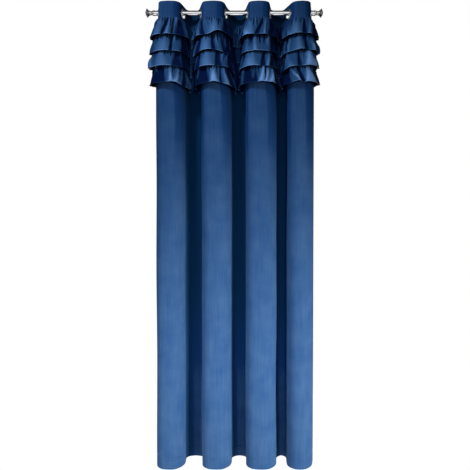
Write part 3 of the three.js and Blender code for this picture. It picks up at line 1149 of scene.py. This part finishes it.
def make_stage():
    """A plain pale floor just under the hem."""
    bpy.ops.mesh.primitive_plane_add(size=FLOOR_SIZE, location=(0, 0, (BOTTOM - FLOOR_DROP) * MM))
    floor = bpy.context.object
    floor.name = "floor"
    material, tree = new_material("pale_floor")
    add_surface(tree, {
        "Base Color": linear(FLOOR_GREY),
        "Roughness": FLOOR_ROUGHNESS,
        "Specular IOR Level": 0.0,
        "Emission Color": linear(WHITE),
        "Emission Strength": FLOOR_GLOW,
    })
    floor.data.materials.append(material)


def make_world():
    """A white backdrop that gives a weak even light."""
    world = bpy.data.worlds.new("white_studio")
    bpy.context.scene.world = world
    world.use_nodes = True
    tree = world.node_tree
    tree.nodes.clear()
    path = add_node(tree, "LightPath")
    seen = add_node(tree, "Background", values={"Color": linear(WHITE), "Strength": BACKDROP_SEEN})
    cast = add_node(tree, "Background", values={"Color": linear(WHITE), "Strength": BACKDROP_CAST})
    both = add_node(tree, "MixShader", links={"Fac": path.outputs["Is Camera Ray"]})
    tree.links.new(cast.outputs["Background"], both.inputs[1])
    tree.links.new(seen.outputs["Background"], both.inputs[2])
    add_node(tree, "OutputWorld", links={"Surface": both.outputs["Shader"]})


def add_softbox(box):
    """One light with an even square or oblong face, turned to its target."""
    data = bpy.data.lights.new(box.name, "AREA")
    data.shape = "RECTANGLE"
    data.size = box.width
    data.size_y = box.height
    data.energy = box.power
    data.spread = math.radians(box.spread)
    data.color = linear(box.tint)[:3]
    light = bpy.data.objects.new(box.name, data)
    bpy.context.scene.collection.objects.link(light)
    light.location = box.place
    light.rotation_euler = (Vector(box.target) - Vector(box.place)).to_track_quat("-Z", "Y").to_euler()
    return light


# Places, targets and sizes are in metres, power is in watts and spread in degrees
COOL_WHITE = "#C6E4FF"
BLUE_WHITE = "#B8DCFF"
WARM_WHITE = "#FFF3EC"
Softbox = namedtuple("Softbox", "name place target width height power spread tint", defaults=(180, WHITE))
SOFTBOXES = (
    Softbox("high_softbox", (-1.5, -1.65, 0.9), (0, 0, -0.2), 0.3, 0.3, 14, 80, COOL_WHITE),
    Softbox("valley_softbox", (-0.3, -3.0, 0.5), (0, 0, -0.22), 0.5, 0.3, 0.5, 24, BLUE_WHITE),
    Softbox("left_softbox", (-2.05, -1.6, -2.05), (0, 0, -2.05), 0.5, 0.6, 13.3, 68, WARM_WHITE),
    Softbox("right_softbox", (3.78, -3.65, -2.05), (0, 0, -2.05), 1.0, 1.2, 48.5, 35.5, WARM_WHITE),
    Softbox("front_softbox", (0, -4.2, -1.6), (0, 0, -1.5), 1.0, 1.4, 10, 40, BLUE_WHITE),
    Softbox("back_softbox", (0.4, 2.8, -0.9), (0, 0, -1.2), 1.0, 1.4, 80, 120, WARM_WHITE),
)
# White cards that only show in the polished metal
MIRROR_CARDS = (
    Softbox("upper_card", (0, -2.6, 0.3), (0, 0, 0), 4.0, 2.0, 34),
    Softbox("lower_card", (0, -1.6, -2.0), (0, 0, 0), 4.0, 1.4, 15),
    Softbox("under_card", (0, -0.008, -0.08), (0, -0.006, 0), 0.9, 0.06, 0.16),
    Softbox("left_card", (-2.2, -0.8, -0.2), (0, 0, 0), 1.2, 1.2, 5),
    Softbox("right_card", (2.2, -0.8, -0.2), (0, 0, 0), 1.2, 1.2, 5),
    Softbox("left_back_card", (-1.6, 2.4, 0.1), (-0.45, 0, 0), 1.0, 1.0, 5),
    Softbox("right_back_card", (1.6, 2.4, 0.1), (0.45, 0, 0), 1.0, 1.0, 5),
)


def make_lights(cloth_pieces, polished_pieces):
    """Softboxes for the cloth, and cards for the metal to mirror."""
    for boxes, name, pieces in (
            (SOFTBOXES, "cloth", cloth_pieces), (MIRROR_CARDS, "polished_metal", polished_pieces)):
        lit = bpy.data.collections.new(name)
        for piece in pieces:
            lit.objects.link(piece)
        for box in boxes:
            light = add_softbox(box)
            light.visible_camera = False
            light.light_linking.receiver_collection = lit


def make_camera():
    """The photograph's view: before the middle of the curtain, tilted down a little."""
    data = bpy.data.cameras.new("camera")
    data.lens = CAMERA_LENS
    camera = bpy.data.objects.new("camera", data)
    bpy.context.scene.collection.objects.link(camera)
    camera.location = Vector(CAMERA_PLACE) * MM
    camera.rotation_euler = (math.radians(90 - CAMERA_TILT_DOWN), 0, 0)
    bpy.context.scene.camera = camera


make_camera()
make_world()
make_stage()

panel_velvet = velvet(PANEL_PILE)
ruffle_velvet = velvet(RUFFLE_PILE)
blue_thread = sewing_thread("polyester_thread")
rod_chrome = plated_metal(ROD_PLATE)
finial_nickel = plated_metal(FINIAL_PLATE)
eyelet_chrome = plated_metal(EYELET_PLATE)

eyelet_places = find_eyelet_places()
rod = make_rod(rod_chrome)
finials = make_finials(finial_nickel)
eyelets = make_eyelets(eyelet_chrome, eyelet_places)
panel, hem_stitches = make_panel(panel_velvet, blue_thread, eyelet_places)
chance = random.Random(GATHER_SEED)
ruffles = []
threads = [hem_stitches]
below = None
for number in reversed(range(len(TIERS))):
    ruffle, stitches, below = make_ruffle(number, ruffle_velvet, blue_thread, chance, below)
    ruffles.append(ruffle)
    threads.append(stitches)
make_lights([panel, *ruffles, *threads], [rod, *finials, *eyelets])

bpy.context.scene.view_settings.view_transform = "Standard"
